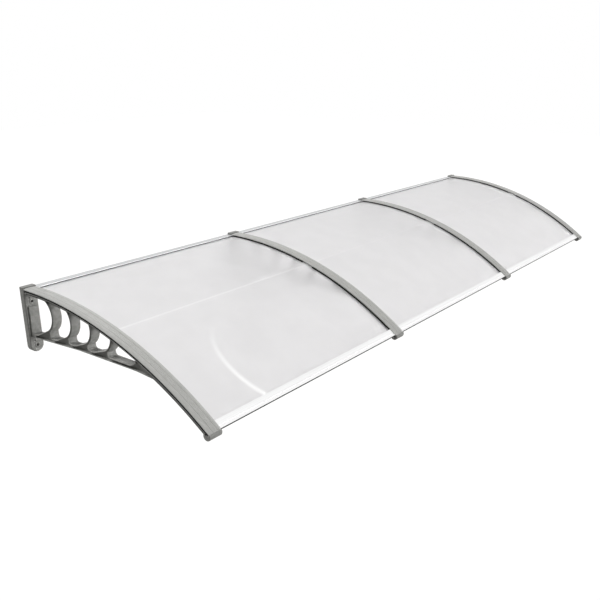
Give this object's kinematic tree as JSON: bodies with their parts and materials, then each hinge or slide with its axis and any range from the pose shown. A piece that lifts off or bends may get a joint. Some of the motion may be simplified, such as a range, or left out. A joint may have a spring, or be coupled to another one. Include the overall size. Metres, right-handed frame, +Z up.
{
  "type": "polycarbonate door canopy",
  "caption": "Arched wall-mounted door canopy: translucent sheets clamped between moulded brackets with curved ribs, grooved cover strips and edge bars.",
  "frame": {"origin": "centre of the middle rear bar's back face, in the plane of the wall", "axes": "+X along the wall, to the right as seen from the street; +Y into the wall, so the canopy reaches out towards -Y; +Z up"},
  "size_m": [3.05, 0.8628, 0.297],
  "materials": {
    "grey_abs": "moulded, fine satin",
    "strip_grey": "extruded, satin",
    "sheet_polycarbonate": "translucent, light frost",
    "mill_aluminium": "extruded, anodised",
    "black_rubber": "matte",
    "zinc_steel": "zinc plated"
  },
  "bodies": {
    "root": {"bracket_1": "grey_abs", "bracket_2": "grey_abs", "bracket_3": "grey_abs", "bracket_4": "grey_abs", "cover_strip_1": "strip_grey", "cover_strip_2": "strip_grey", "cover_strip_3": "strip_grey", "cover_strip_4": "strip_grey", "panel_left": "sheet_polycarbonate", "panel_middle": "sheet_polycarbonate", "panel_right": "sheet_polycarbonate", "front_bar_left": "mill_aluminium", "front_bar_middle": "mill_aluminium", "front_bar_right": "mill_aluminium", "rear_bar_left": "mill_aluminium", "rear_bar_middle": "mill_aluminium", "rear_bar_right": "mill_aluminium", "front_seal_left": "black_rubber", "front_seal_middle": "black_rubber", "front_seal_right": "black_rubber", "rear_seal_left": "black_rubber", "rear_seal_middle": "black_rubber", "rear_seal_right": "black_rubber", "slot_seal_1_outer": "black_rubber", "slot_seal_4_outer": "black_rubber", "slot_seal_left_start_rear": "black_rubber", "slot_seal_left_start_front": "black_rubber", "slot_seal_left_end_rear": "black_rubber", "slot_seal_left_end_front": "black_rubber", "slot_seal_middle_start_rear": "black_rubber", "slot_seal_middle_start_front": "black_rubber", "slot_seal_middle_end_rear": "black_rubber", "slot_seal_middle_end_front": "black_rubber", "slot_seal_right_start_rear": "black_rubber", "slot_seal_right_start_front": "black_rubber", "slot_seal_right_end_rear": "black_rubber", "slot_seal_right_end_front": "black_rubber", "strip_screw_1_1": "zinc_steel", "strip_screw_1_2": "zinc_steel", "strip_screw_1_3": "zinc_steel", "strip_screw_2_1": "zinc_steel", "strip_screw_2_2": "zinc_steel", "strip_screw_2_3": "zinc_steel", "strip_screw_3_1": "zinc_steel", "strip_screw_3_2": "zinc_steel", "strip_screw_3_3": "zinc_steel", "strip_screw_4_1": "zinc_steel", "strip_screw_4_2": "zinc_steel", "strip_screw_4_3": "zinc_steel"}
  },
  "joints": []
}
